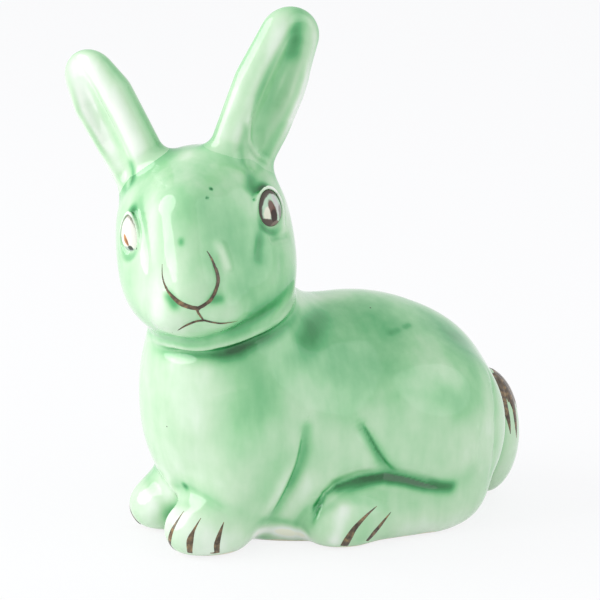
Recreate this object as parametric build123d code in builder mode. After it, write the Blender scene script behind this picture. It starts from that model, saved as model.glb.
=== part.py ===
from build123d import *
import os
from collections import namedtuple
from math import cos, pi, sqrt

# Glazed ceramic rabbit crouching on a flat base, facing -Y with its head turned to its left (+X).
# It is cast in sections, and each section is luted with slip to its neighbour before firing.
# Millimetres. The origin is on the base plane, under the middle of the barrel.

# Shell
wall = 4.5
base_thickness = 5.0
vent_diameter = 6.0
vent_behind_origin = 16.0

# Body casting: barrel, chest ahead of it, a haunch on each side
barrel_length = 96.0
barrel_width = 61.0
barrel_height = 78.0
barrel_axis_height = 26.0
chest_length = 56.0
chest_width = 56.0
chest_height = 66.0
chest_axis_height = 38.0
chest_ahead = 32.0
body_blend = 12.0
haunch_length = 48.0
haunch_width = 31.0
haunch_height = 52.0
haunch_axis_height = 27.0
haunch_from_rump = 31.0
haunch_inset = 11.5
haunch_tilt = 8.0

# Neck: a hollow spigot of the body that the head's socket fits over
neck_bottom_diameter = 47.0
neck_waist_diameter = 41.0
neck_top_diameter = 39.0
neck_bottom_aside = 1.0
neck_bottom_ahead_of_chest = 3.0
neck_bottom_above_chest = 12.0
neck_waist_rise = 13.6
neck_top_back_from_head = 4.8
neck_top_aside_from_head = 1.4
neck_top_below_head = 11.6

# Head casting, in its own axes: -Y is the face, +X its left, +Z its crown
head_aside = 7.0
head_ahead_of_chest = 13.5
head_above_chest = 46.6
head_turn = 57.0
head_bow = 4.0
head_tilt = -9.0
skull_length = 45.0
skull_width = 48.0
skull_height = 46.0
skull_behind = 4.0
skull_above = 5.0
jaw_length = 36.0
jaw_width = 44.0
jaw_height = 31.0
jaw_ahead = 4.0
jaw_below = 8.0
muzzle_length = 32.0
muzzle_width = 32.0
muzzle_height = 36.0
muzzle_ahead = 12.5
muzzle_below = 3.0
head_blend = 8.0
cheek_width = 26.8
cheek_length = 32.0
cheek_height = 28.0
cheek_ahead = 4.0
cheek_below = 7.4
left_cheek_spread = 10.5
right_cheek_spread = 9.2
brow_diameter = 18.6
brow_ahead = 13.0
brow_above = 14.0
nose_diameter = 16.4
nose_ahead = 20.5
nose_below = 2.5
whisker_pad_length = 13.0
whisker_pad_width = 13.0
whisker_pad_height = 11.0
whisker_pad_ahead = 20.5
whisker_pad_below = 10.5
whisker_pad_spread = 5.0

# Eyes: low domes seated in shallow sockets on the sides of the face
eye_length = 7.8
eye_height = 11.0
eye_depth = 4.4
eye_sink = 1.0
eye_above = 10.3
eye_turn = 44.0
left_eye_spread = 20.9
left_eye_ahead = 5.8
right_eye_spread = 17.3
right_eye_ahead = 11.1
socket_length = 11.2
socket_height = 14.4
socket_depth = 6.8
socket_lift = 2.3

# Ears, in the head's axes
left_ear_root_spread = 10.4
right_ear_root_spread = 12.5
ear_root_behind = 5.0
ear_root_above = 18.0
ear_root_width = 18.4
ear_full_width = 19.4
ear_full_at = 27.0
ear_tip_width = 16.6
ear_thickness_ratio = 0.6
ear_bow = 0.2
ear_facing = 26.0
ear_seat_depth = 8.0
ear_hollow_width = 10.4
ear_hollow_depth = 11.0
ear_hollow_length = 54.0
ear_hollow_ahead = 7.5
ear_hollow_at = 22.0
ear_hollow_offset = 1.8
left_ear_length = 49.8
left_ear_splay = 30.9
right_ear_length = 42.0
right_ear_splay = 20.4
ear_rake = 6.3

# Forelegs
shoulder_diameter = 24.0
ankle_diameter = 19.0
shoulder_inset = 16.0
shoulder_ahead_of_chest = 2.0
shoulder_below_chest = 8.0
ankle_spread = 12.5
ankle_ahead_of_chest = 11.5
ankle_above = 9.0
paw_width = 19.0
paw_length = 22.0
paw_height = 17.0
paw_spread = 12.0
paw_ahead_of_chest = 15.5
paw_axis_height = 6.8
paw_turn = 4.0

# Hind feet
foot_inset = 9.0
sole_length = 54.0
sole_width = 20.0
sole_height = 20.0
sole_from_rump = 40.0
sole_axis_height = 9.0
toe_length = 26.0
toe_width = 20.0
toe_height = 18.5
toe_ahead_of_sole = 18.0
toe_axis_height = 7.5
foot_blend = 5.0

# Tail, laid up against the rump
tail_width = 25.0
tail_depth = 22.6
tail_height = 41.0
tail_overlap = 1.5
tail_axis_height = 18.5
tail_lean = 6.0

# Sections across a blended form, counted from tip to tip
section_count = 10

rump_y = barrel_length / 2
flank_x = barrel_width / 2

Lump = namedtuple("Lump", "y z length width height")

barrel = Lump(0.0, barrel_axis_height, barrel_length, barrel_width, barrel_height)
chest = Lump(-chest_ahead, chest_axis_height, chest_length, chest_width, chest_height)
skull = Lump(skull_behind, skull_above, skull_length, skull_width, skull_height)
jaw = Lump(-jaw_ahead, -jaw_below, jaw_length, jaw_width, jaw_height)
muzzle = Lump(-muzzle_ahead, -muzzle_below, muzzle_length, muzzle_width, muzzle_height)
sole = Lump(rump_y - sole_from_rump, sole_axis_height, sole_length, sole_width, sole_height)
toe = Lump(sole.y - toe_ahead_of_sole, toe_axis_height, toe_length, toe_width, toe_height)

head_centre = Vector(head_aside, chest.y - head_ahead_of_chest, chest.z + head_above_chest)
neck_bottom = Vector(
    neck_bottom_aside,
    chest.y - neck_bottom_ahead_of_chest,
    chest.z + neck_bottom_above_chest,
)
neck_top = head_centre + Vector(-neck_top_aside_from_head, neck_top_back_from_head, -neck_top_below_head)
neck_axis = (neck_top - neck_bottom).normalized()
neck_waist = neck_bottom + neck_axis * neck_waist_rise

head_place = Location(head_centre, (head_turn, head_bow, head_tilt), Intrinsic.ZXY)


def soft_max(values, reach):
    """Largest of the values, rounded over where the two largest come within reach."""
    result = values[0]
    for value in values[1:]:
        overlap = max(reach - abs(result - value), 0.0)
        result = max(result, value) + overlap * overlap / (4 * reach)
    return result


def inset(lump, thickness):
    """The same lump with a skin of this thickness taken off all round."""
    skin = 2 * thickness
    return Lump(lump.y, lump.z, lump.length - skin, lump.width - skin, lump.height - skin)


def blended_form(lumps, reach):
    """Egg-shaped solid lofted along Y through ellipses that wrap all the lumps."""
    front = min(lumps, key=lambda lump: lump.y - lump.length / 2)
    back = max(lumps, key=lambda lump: lump.y + lump.length / 2)
    first_y = front.y - front.length / 2
    last_y = back.y + back.length / 2
    with BuildPart() as form:
        sections = [Vertex(0, first_y, front.z)]
        for index in range(1, section_count):
            y = (first_y + last_y) / 2 - (last_y - first_y) / 2 * cos(pi * index / section_count)
            widths, highs, lows = [], [], []
            for lump in lumps:
                share = 1 - ((y - lump.y) / (lump.length / 2)) ** 2
                if share > 0:
                    widths.append(lump.width / 2 * sqrt(share))
                    highs.append(lump.z + lump.height / 2 * sqrt(share))
                    lows.append(lump.height / 2 * sqrt(share) - lump.z)
            high = soft_max(highs, reach)
            low = -soft_max(lows, reach)
            centre = (0, y, (high + low) / 2)
            with BuildSketch(Plane(origin=centre, x_dir=(1, 0, 0), z_dir=(0, -1, 0))) as section:
                Ellipse(soft_max(widths, reach), (high - low) / 2)
            sections.append(section.sketch)
        sections.append(Vertex(0, last_y, back.z))
        loft(sections=sections)
    return form.part


def ellipsoid(width, length, height, place):
    """Ellipsoid with these three diameters along X, Y and Z, put at a place."""
    with BuildPart() as form:
        Sphere(height / 2)
        scale(by=(width / height, length / height, 1))
    return form.part.moved(place)


def cone_between(start, end, start_diameter, end_diameter):
    """Round taper from one point to another."""
    axis = end - start
    with BuildPart(Plane(origin=start, z_dir=axis)) as form:
        Cone(start_diameter / 2, end_diameter / 2, axis.length, align=(Align.CENTER, Align.CENTER, Align.MIN))
    return form.part


def neck_form(skin, rise):
    """Flared neck less a skin off its radius, with its top raised by a rise along its axis."""
    stations = (
        (neck_bottom, neck_bottom_diameter),
        (neck_waist, neck_waist_diameter),
        (neck_top + neck_axis * rise, neck_top_diameter),
    )
    with BuildPart() as form:
        for centre, diameter in stations:
            with BuildSketch(Plane(origin=centre, x_dir=(1, 0, 0), z_dir=neck_axis)):
                Circle(diameter / 2 - skin)
        loft()
    return form.part


def haunch(side, thickness):
    """Swell of the thigh on one side, less a skin of this thickness."""
    skin = 2 * thickness
    spot = (side * (flank_x - haunch_inset), rump_y - haunch_from_rump, haunch_axis_height)
    place = Location(spot, (-haunch_tilt, 0, 0))
    return ellipsoid(haunch_width - skin, haunch_length - skin, haunch_height - skin, place)


# Outer form of the body casting, solid
with BuildPart() as body_form:
    add(blended_form([barrel, chest], body_blend))
    for side in (1, -1):
        add(haunch(side, 0.0))
    add(neck_form(0.0, 0.0))
    split(bisect_by=Plane.XY, keep=Keep.TOP)

# Body: the form with its casting hollow, an open neck and a vent through the base
with BuildPart() as body_hollow:
    add(blended_form([inset(barrel, wall), inset(chest, wall)], body_blend))
    for side in (1, -1):
        add(haunch(side, wall))
    split(bisect_by=Plane.XY.offset(base_thickness), keep=Keep.TOP)
    add(neck_form(wall, wall))
with BuildPart() as body:
    add(body_form.part)
    add(body_hollow.part, mode=Mode.SUBTRACT)
    with BuildSketch(Plane.XY) as vent:
        with Locations((0, vent_behind_origin)):
            Circle(vent_diameter / 2)
    extrude(amount=base_thickness * 2, mode=Mode.SUBTRACT)
body.part.label = "body"

# Eyes: each seated in a seat cut by the same dome, in a shallow socket
eye_parts = {}
socket_cuts = []
eye_kinds = (
    (1, "left_eye", left_eye_spread, left_eye_ahead),
    (-1, "right_eye", right_eye_spread, right_eye_ahead),
)
for side, name, spread, ahead in eye_kinds:
    eye_place = head_place * Location((side * spread, -ahead, eye_above), (0, 0, -side * eye_turn))
    sunk = eye_place * Location((-side * eye_sink, 0, 0))
    lifted = eye_place * Location((side * socket_lift, 0, 0))
    socket_cuts.append(ellipsoid(socket_depth, socket_length, socket_height, lifted))
    with BuildPart() as eye:
        add(ellipsoid(eye_depth, eye_length, eye_height, sunk))
    eye.part.label = name
    eye_parts[name] = eye.part


def cheek(side, thickness):
    """Swell of the cheek on one side, less a skin of this thickness."""
    skin = 2 * thickness
    spread = left_cheek_spread if side > 0 else right_cheek_spread
    place = head_place * Location((side * spread, -cheek_ahead, -cheek_below))
    return ellipsoid(cheek_width - skin, cheek_length - skin, cheek_height - skin, place)


# Outer form of the head casting, solid
with BuildPart() as head_form:
    add(blended_form([skull, jaw, muzzle], head_blend).moved(head_place))
    for side in (1, -1):
        add(cheek(side, 0.0))
    brow = Vector(0, -brow_ahead, brow_above)
    nose = Vector(0, -nose_ahead, -nose_below)
    add(cone_between(brow, nose, brow_diameter, nose_diameter).moved(head_place))
    for spot, diameter in ((brow, brow_diameter), (nose, nose_diameter)):
        add(ellipsoid(diameter, diameter, diameter, head_place * Location(spot)))
    for side in (1, -1):
        pad_place = Location((side * whisker_pad_spread, -whisker_pad_ahead, -whisker_pad_below))
        add(ellipsoid(whisker_pad_width, whisker_pad_length, whisker_pad_height, head_place * pad_place))

# Head: the form with its casting hollow, the neck socket and the eye sockets
with BuildPart() as head:
    add(head_form.part)
    head_lumps = [inset(skull, wall), inset(jaw, wall), inset(muzzle, wall)]
    add(blended_form(head_lumps, head_blend).moved(head_place), mode=Mode.SUBTRACT)
    for side in (1, -1):
        add(cheek(side, wall), mode=Mode.SUBTRACT)
    add(body_form.part, mode=Mode.SUBTRACT)
    for socket_cut in socket_cuts:
        add(socket_cut, mode=Mode.SUBTRACT)
    for eye_part in eye_parts.values():
        add(eye_part, mode=Mode.SUBTRACT)
head.part.label = "head"


def ear_place(side, spread, splay):
    """Where an ear's root stands on the head, its +Z up the ear and its -Y the open side."""
    up = Vector(0, 0, 1).rotate(Axis.X, -ear_rake).rotate(Axis.Y, side * splay)
    front = Vector(0, -1, 0).rotate(Axis.Z, side * ear_facing)
    across = up.cross(front).normalized()
    root = (side * spread, ear_root_behind, ear_root_above)
    return head_place * Plane(origin=root, x_dir=across, z_dir=up).location


def ear_section(height, width, bow):
    """Flat oval across an ear, pushed sideways by its bow."""
    with BuildSketch(Plane.XY.offset(height)) as section:
        with Locations((bow, 0)):
            Ellipse(width / 2, width / 2 * ear_thickness_ratio)
    return section.sketch


# Ears: tapered leaves, hollowed along the open side, cut to sit on the head
ear_parts = {}
ear_kinds = (
    (1, "left_ear", left_ear_length, left_ear_root_spread, left_ear_splay),
    (-1, "right_ear", right_ear_length, right_ear_root_spread, right_ear_splay),
)
for side, name, ear_length, spread, splay in ear_kinds:
    tip_centre = ear_length - ear_tip_width / 2
    shoulder_of_tip = ear_length - ear_tip_width / 7
    shoulder_width = 2 * sqrt((ear_tip_width / 2) ** 2 - (shoulder_of_tip - tip_centre) ** 2)
    middle = (ear_full_at + tip_centre) / 2
    bow = -side * ear_bow
    with BuildPart() as leaf:
        loft(
            sections=[
                ear_section(-ear_seat_depth, ear_root_width, 0),
                ear_section(ear_full_at / 2, (ear_root_width + ear_full_width) / 2, bow * 0.8),
                ear_section(ear_full_at, ear_full_width, bow),
                ear_section(middle, (ear_full_width + ear_tip_width) / 2, bow * 0.8),
                ear_section(tip_centre, ear_tip_width, bow * 0.2),
                ear_section(shoulder_of_tip, shoulder_width, 0),
                Vertex(0, 0, ear_length),
            ]
        )
        hollow_place = Location((side * ear_hollow_offset, -ear_hollow_ahead, ear_hollow_at))
        hollow = ellipsoid(ear_hollow_width, ear_hollow_depth, ear_hollow_length, hollow_place)
        add(hollow, mode=Mode.SUBTRACT)
    with BuildPart() as ear:
        add(leaf.part.moved(ear_place(side, spread, splay)))
        add(head_form.part, mode=Mode.SUBTRACT)
    ear.part.label = name
    ear_parts[name] = ear.part

# Forelegs: a tapered upper leg and a round paw, cut flat below and to the body behind
foreleg_parts = {}
for side, name in ((1, "left_foreleg"), (-1, "right_foreleg")):
    shoulder = Vector(
        side * (chest.width / 2 - shoulder_inset),
        chest.y - shoulder_ahead_of_chest,
        chest.z - shoulder_below_chest,
    )
    ankle = Vector(side * ankle_spread, chest.y - ankle_ahead_of_chest, ankle_above)
    paw_spot = (side * paw_spread, chest.y - paw_ahead_of_chest, paw_axis_height)
    paw_place = Location(paw_spot, (0, 0, side * paw_turn))
    with BuildPart() as foreleg:
        add(cone_between(shoulder, ankle, shoulder_diameter, ankle_diameter))
        with Locations(ankle):
            Sphere(ankle_diameter / 2)
        add(ellipsoid(paw_width, paw_length, paw_height, paw_place))
        split(bisect_by=Plane.XY, keep=Keep.TOP)
        add(body_form.part, mode=Mode.SUBTRACT)
    foreleg.part.label = name
    foreleg_parts[name] = foreleg.part

# Hind feet: long soles under the haunches, cut the same way
foot_parts = {}
for side, name in ((1, "left_hind_foot"), (-1, "right_hind_foot")):
    with BuildPart() as foot:
        add(blended_form([sole, toe], foot_blend).moved(Location((side * (flank_x - foot_inset), 0, 0))))
        split(bisect_by=Plane.XY, keep=Keep.TOP)
        add(body_form.part, mode=Mode.SUBTRACT)
    foot.part.label = name
    foot_parts[name] = foot.part

# Tail: an upright oval laid against the rump
tail_place = Location((0, rump_y - tail_overlap, tail_axis_height), (tail_lean, 0, 0))
with BuildPart() as tail:
    add(ellipsoid(tail_width, tail_depth, tail_height, tail_place))
    split(bisect_by=Plane.XY, keep=Keep.TOP)
    add(body_form.part, mode=Mode.SUBTRACT)
tail.part.label = "tail"

os.makedirs("parts", exist_ok=True)
pieces = [body.part, head.part, tail.part]
pieces += list(eye_parts.values()) + list(ear_parts.values())
pieces += list(foreleg_parts.values()) + list(foot_parts.values())
for piece in pieces:
    export_step(piece, f"parts/{piece.label}.step")
    print(piece.label, len(piece.solids()), round(piece.volume / 1000, 2), "cm3")
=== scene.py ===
import math
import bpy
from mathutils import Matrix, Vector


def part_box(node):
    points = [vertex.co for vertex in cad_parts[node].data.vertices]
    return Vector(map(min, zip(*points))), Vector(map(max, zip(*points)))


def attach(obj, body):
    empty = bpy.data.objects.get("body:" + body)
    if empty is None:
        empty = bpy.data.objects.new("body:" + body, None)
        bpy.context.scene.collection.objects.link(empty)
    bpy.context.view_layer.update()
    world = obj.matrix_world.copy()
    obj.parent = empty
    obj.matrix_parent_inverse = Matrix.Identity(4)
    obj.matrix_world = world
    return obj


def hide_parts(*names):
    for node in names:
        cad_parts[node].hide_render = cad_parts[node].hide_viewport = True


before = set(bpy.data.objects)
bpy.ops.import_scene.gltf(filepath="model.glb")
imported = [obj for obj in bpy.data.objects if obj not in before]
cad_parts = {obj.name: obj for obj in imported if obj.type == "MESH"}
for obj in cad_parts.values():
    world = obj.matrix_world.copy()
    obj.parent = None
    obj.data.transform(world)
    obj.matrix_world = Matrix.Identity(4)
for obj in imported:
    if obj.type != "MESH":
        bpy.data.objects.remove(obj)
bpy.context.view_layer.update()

from concurrent.futures import ThreadPoolExecutor
import bpy
import numpy as np
import openvdb
from mathutils import Vector

mm = 0.001  # the sculpting below is in millimetres of the row's frame, the meshes in metres


def newObject(name, data):
    made = bpy.data.objects.new(name, data)
    bpy.context.scene.collection.objects.link(made)
    return made


# Camera, at the photograph's viewing angle
shot = {
    "azimuth": 64.0,
    "elevation": 14.5,
    "distance": 800.0,
    "target": (0.0, -13.0, 65.0),
    "focalPixels": 2840.0,
    "imagePixels": 600.0,
    "sensor": 36.0,
    "clip": (0.05, 50.0),
}


def shotAxes():
    turn, lift = math.radians(shot["azimuth"]), math.radians(shot["elevation"])
    back = np.array([math.sin(turn) * math.cos(lift), -math.cos(turn) * math.cos(lift), math.sin(lift)])
    right = np.array([math.cos(turn), math.sin(turn), 0.0])
    return right, np.cross(back, right), back


def makeCamera():
    right, up, back = shotAxes()
    data = bpy.data.cameras.new("photoCamera")
    data.sensor_width = shot["sensor"]
    data.lens = shot["focalPixels"] / shot["imagePixels"] * shot["sensor"]
    data.clip_start, data.clip_end = shot["clip"]
    camera = newObject("photoCamera", data)
    camera.location = Vector((np.array(shot["target"]) + back * shot["distance"]) * mm)
    camera.rotation_mode = "QUATERNION"
    camera.rotation_quaternion = Vector(-back).to_track_quat("-Z", "Y")
    bpy.context.scene.camera = camera


makeCamera()
print("camera set")


# Clay: rounded lumps as distance fields, melted into each other like luted slip
def turned(yaw, pitch=0.0, roll=0.0):
    a, b, c = (math.radians(v) for v in (yaw, pitch, roll))
    aboutZ = np.array([[math.cos(a), -math.sin(a), 0], [math.sin(a), math.cos(a), 0], [0, 0, 1]])
    aboutX = np.array([[1, 0, 0], [0, math.cos(b), -math.sin(b)], [0, math.sin(b), math.cos(b)]])
    aboutY = np.array([[math.cos(c), 0, math.sin(c)], [0, 1, 0], [-math.sin(c), 0, math.cos(c)]])
    return (aboutZ @ aboutX @ aboutY).astype(np.float32)


def egg(p, centre, radii, axes=None):
    q = p - np.array(centre, np.float32)
    if axes is not None:
        q = q @ axes
    r = np.array(radii, np.float32)
    near = np.sqrt(((q / r) ** 2).sum(1))
    slope = np.sqrt(((q / (r * r)) ** 2).sum(1))
    return near * (near - 1) / np.maximum(slope, 1e-6)


def limb(p, start, end, startRadius, endRadius):
    a = np.array(start, np.float32)
    along = np.array(end, np.float32) - a
    size = float(along @ along)
    drop = startRadius - endRadius
    level = size - drop * drop
    q = p - a
    y = q @ along
    z = y - size
    cross = q * size - y[:, None] * along
    x2 = (cross * cross).sum(1)
    y2 = y * y * size
    z2 = z * z * size
    k = math.copysign(drop * drop, drop) * x2
    inside = (np.sqrt(x2 * level / size) + y * drop) / size - startRadius
    atEnd = np.sqrt(x2 + z2) / size - endRadius
    atStart = np.sqrt(x2 + y2) / size - startRadius
    result = np.where(np.sign(y) * level * y2 < k, atStart, inside)
    return np.where(np.sign(z) * level * z2 > k, atEnd, result)


def melt(a, b, reach):
    h = np.maximum(reach - np.abs(a - b), 0.0) / reach
    return np.minimum(a, b) - h * h * (reach / 4)


def carve(a, b, reach):
    return -melt(-a, -b, reach)


# How a mark along a path dies away: in millimetres off the skin, the share of its strength left at its ends,
# and in widths to the side, with a millimetre to spare for a crease
markFade = {"offSkin": 3.5, "creaseEnds": 0.15, "poolAndLightEnds": 0.6, "widths": 3, "spare": 1}
mirror = np.array([-1, 1, 1], np.float32)


def alongPath(p, path, width, ends, skin=None, soft=None):
    weights = np.ones(len(path), np.float32)
    if len(path) > 2:
        weights[[0, -1]] = ends
    best = np.full(len(p), 1e9, np.float32)
    weight = np.zeros(len(p), np.float32)
    away = np.zeros_like(p)
    upright = np.zeros_like(p)
    for i in range(len(path) - 1):
        along = path[i + 1] - path[i]
        share = np.clip(((p - path[i]) @ along) / max(float(along @ along), 1e-9), 0, 1)
        gap = p - path[i] - share[:, None] * along
        size = (gap * gap).sum(1)
        closer = size < best
        best[closer] = size[closer]
        away[closer] = gap[closer]
        weight[closer] = (weights[i] + (weights[i + 1] - weights[i]) * share)[closer]
        if skin is not None:
            upright[closer] = (skin[i] + (skin[i + 1] - skin[i]) * share[:, None])[closer]
    if skin is not None:
        height = (away * upright).sum(1)
        away -= upright * height[:, None]
        best = (away * away).sum(1)
        weight *= np.exp(-(height / markFade["offSkin"]) ** 4)
    if soft is not None:
        width = np.where(away @ soft[0] > 0, width * soft[1], width)
    return weight * np.exp(-best / width ** 2)


def nearPath(p, path, reach):
    return ((p > path.min(0) - reach) & (p < path.max(0) + reach)).all(1)


# The castings and sprigs, placed about as in the CAD part
torso = {
    "chest": ((0, -32, 38), (28, 28, 33)),
    "barrel": ((0, -0.5, 26), (30.5, 47.3, 40)),
    "rump": ((0, 21.5, 27.5), (24, 24, 28.5)),
    "neck": ((1, -35, 52), (5, -40, 70), 22.0, 19.5),
    "haunch": ((19, 17, 26.5), (15.0, 23, 24.5)),
    "haunchTurn": (0, -8, 6),
    "meltBarrel": 12.0,
    "meltNeck": 9.0,
    "meltRump": 6.0,
    "meltHaunch": 12.0,
}
foreleg = {
    "leg": ((14, -34, 32), (12.5, -43.5, 9), 14.0, 9.5),
    "paw": ((12.2, -48, 6.8), (9.8, 12, 8.8)),
    "pawTurn": 4,
    "melt": 5.0,
}
hindFoot = {
    "sole": ((21.5, 15, 8.2), (22.3, -7, 8), 10.6, 9.4),
    "heel": ((20.0, 22.5, 12), (11.3, 13.5, 13.2)),
    "toe": ((22, -12, 7.5), (10, 11, 9.5)),
    "toeTurn": 6,
    "melt": 5.0,
}
tail = {"form": ((0, 46.0, 18.9), (12.5, 11.2, 19.2)), "lean": 1}
head = {
    "centre": (7.0, -45.5, 84.6),
    "turn": (57, 4, -9),
    "skull": ((0, 4, 5), (24, 22.5, 23)),
    "leftCheek": ((10.5, -4, -8), (13.5, 16, 14.5)),
    "rightCheek": ((-9.2, -4, -6.8), (13.2, 16, 13.6)),
    "muzzle": ((0, -14, -9), (12.5, 13, 12.5)),
    "bridge": ((0, -13, 14), (0, -20.5, -2.5), 9.0, 8.0),
    "whiskerPad": ((5.5, -21, -10), (7, 6.5, 5.5)),
    "meltFace": 9.0,
    "meltBridge": 7.0,
    "meltPad": 3.0,
}
ear = {
    "leftRoot": (10.4, 5, 18),
    "rightRoot": (-12.5, 5, 18),
    "leftTip": (35.8, 10, 60.5),
    "rightTip": (-27, 10, 57),
    "facing": 26,
    "bow": 0.2,
    "bowMiddle": 0.45,
    "bowHalf": 0.55,
    "rootRadius": 9.2,
    "fullRadius": 10.0,
    "fullAt": 27.0,
    "tipRadius": 8.3,
    "flatten": 1.7,
    "evenedSlope": 0.65,
    "hollow": ((1.8, -7.5, 24), (5.2, 5.5, 25)),
    "hollowEdge": 3.0,
}
eye = {
    "leftPixel": (270, 209),
    "rightPixel": (129, 234),
    "leftRoll": -14,
    "rightRoll": -4,
    "leftTurn": 41,
    "rightTurn": 50,
    "socket": (4.5, 6.2, 3.0),
    "socketLift": 1.9,
    "dome": (3.9, 5.5, 2.2),
    "domeSink": 1.0,
    "leftShape": (1.12, 0.14),
    "rightShape": (0.92, 0.34),
    "lid": (4.2, 5.8),
    "lidSink": 0.45,
    "lidRadius": 0.48,
    "reach": 14.0,
    "upward": 0.1,
    "meltSocket": 2.0,
    "meltLid": 1.5,
}
headAxes = turned(*head["turn"])
headCentre = np.array(head["centre"], np.float32)


def ofSide(table, side, key):
    return table[("left" if side > 0 else "right") + key]


def sided(point, side):
    return (point[0] * side, point[1], point[2])


def torsoField(p):
    d = melt(egg(p, *torso["chest"]), egg(p, *torso["barrel"]), torso["meltBarrel"])
    d = melt(d, egg(p, *torso["rump"]), torso["meltRump"])
    d = melt(d, limb(p, *torso["neck"]), torso["meltNeck"])
    centre, radii = torso["haunch"]
    yaw, pitch, roll = torso["haunchTurn"]
    for side in (1, -1):
        haunch = egg(p, sided(centre, side), radii, turned(yaw, pitch, side * roll))
        d = melt(d, haunch, torso["meltHaunch"])
    return d


def forelegField(p, side):
    shoulder, ankle, upper, lower = foreleg["leg"]
    centre, radii = foreleg["paw"]
    leg = limb(p, sided(shoulder, side), sided(ankle, side), upper, lower)
    paw = egg(p, sided(centre, side), radii, turned(side * foreleg["pawTurn"]))
    return melt(leg, paw, foreleg["melt"])


def hindFootField(p, side):
    heel, instep, upper, lower = hindFoot["sole"]
    centre, radii = hindFoot["toe"]
    sole = limb(p, sided(heel, side), sided(instep, side), upper, lower)
    rear, rearRadii = hindFoot["heel"]
    sole = melt(sole, egg(p, sided(rear, side), rearRadii), hindFoot["melt"])
    toe = egg(p, sided(centre, side), radii, turned(side * hindFoot["toeTurn"]))
    return melt(sole, toe, hindFoot["melt"])


def tailField(p):
    return egg(p, *tail["form"], turned(0, tail["lean"]))


def inHead(p):
    return (p - headCentre) @ headAxes


def outOfHead(q):
    return np.asarray(q, np.float32) @ headAxes.T + headCentre


def headField(p):
    q = inHead(p)
    d = egg(q, *head["skull"])
    for cheek in ("leftCheek", "rightCheek"):
        d = melt(d, egg(q, *head[cheek]), head["meltFace"])
    d = melt(d, egg(q, *head["muzzle"]), head["meltFace"])
    d = melt(d, limb(q, *head["bridge"]), head["meltBridge"])
    for side in (1, -1):
        centre, radii = head["whiskerPad"]
        d = melt(d, egg(q, sided(centre, side), radii), head["meltPad"])
    return d


def earAxes(side):
    root = np.array(ofSide(ear, side, "Root"))
    up = np.array(ofSide(ear, side, "Tip")) - root
    length = float(np.linalg.norm(up))
    up = up / length
    facing = math.radians(ear["facing"])
    front = np.array([math.sin(facing) * side, -math.cos(facing), 0.0])
    back = up * (front @ up) - front
    back = back / np.linalg.norm(back)
    return root.astype(np.float32), np.stack([np.cross(back, up), back, up], 1).astype(np.float32), length


def earField(p, side):
    root, axes, length = earAxes(side)
    e = (inHead(p) - root) @ axes
    arch = 1 - ((e[:, 2] - length * ear["bowMiddle"]) / (length * ear["bowHalf"])) ** 2
    e[:, 0] += side * ear["bow"] * np.clip(arch, 0, 1)
    flat = e * np.array([1, ear["flatten"], 1], np.float32)
    full = (0, 0, ear["fullAt"])
    lower = limb(flat, (0, 0, 0), full, ear["rootRadius"], ear["fullRadius"])
    upper = limb(flat, full, (0, 0, length - ear["tipRadius"]), ear["fullRadius"], ear["tipRadius"])
    leaf = np.minimum(lower, upper) * ear["evenedSlope"]
    centre, radii = ear["hollow"]
    return carve(leaf, -egg(e, sided(centre, side), radii), ear["hollowEdge"])


# The pieces in order: the form, how far it melts into those before it, and the step of the grid it is cut on
clay = {
    "body": (torsoField, 0.0, 0.635),
    "left_foreleg": (lambda p: forelegField(p, 1), 5.0, 0.5),
    "right_foreleg": (lambda p: forelegField(p, -1), 5.0, 0.5),
    "left_hind_foot": (lambda p: hindFootField(p, 1), 2.5, 0.5),
    "right_hind_foot": (lambda p: hindFootField(p, -1), 2.5, 0.5),
    "tail": (tailField, 1.5, 0.5),
    "head": (headField, 5.0, 0.5),
    "left_ear": (lambda p: earField(p, 1), 4.0, 0.45),
    "right_ear": (lambda p: earField(p, -1), 4.0, 0.45),
}
pieceNames = list(clay)
fieldMakers, meltOf, gridSteps = zip(*clay.values())
nodeBoxes = [[np.array(corner, np.float32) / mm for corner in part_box(name)] for name in pieceNames]
# A form is worked out this far round its node's box, and counts as this far off beyond that
fieldReach = {"roundBox": 24, "beyond": 40.0}


def pieceFields(p):
    fields = []
    for maker, (low, high) in zip(fieldMakers, nodeBoxes):
        near = ((p > low - fieldReach["roundBox"]) & (p < high + fieldReach["roundBox"])).all(1)
        field = np.full(len(p), fieldReach["beyond"], np.float32)
        if near.any():
            field[near] = maker(p[near])
        fields.append(field)
    return fields


def joined(fields):
    d = fields[0]
    for nextField, reach in zip(fields[1:], meltOf[1:]):
        d = melt(d, nextField, reach)
    return d


def plainForm(p):
    return joined(pieceFields(p))


def slopes(function, p, step=0.15):
    total = np.zeros_like(p)
    for corner in ((1, -1, -1), (-1, -1, 1), (-1, 1, -1), (1, 1, 1)):
        away = np.array(corner, np.float32)
        total += away * function(p + away * step)[:, None]
    return total / np.maximum(np.linalg.norm(total, axis=1), 1e-9)[:, None]


# Marks seen in the photograph are placed by its pixels: a ray from the camera steps up to the clay, and its
# nearest point is then settled on the skin
ray = {"startBefore": 150.0, "steps": 160, "back": -4, "ahead": 8, "stride": 0.7, "settle": 5, "lowest": 0.8}


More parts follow.
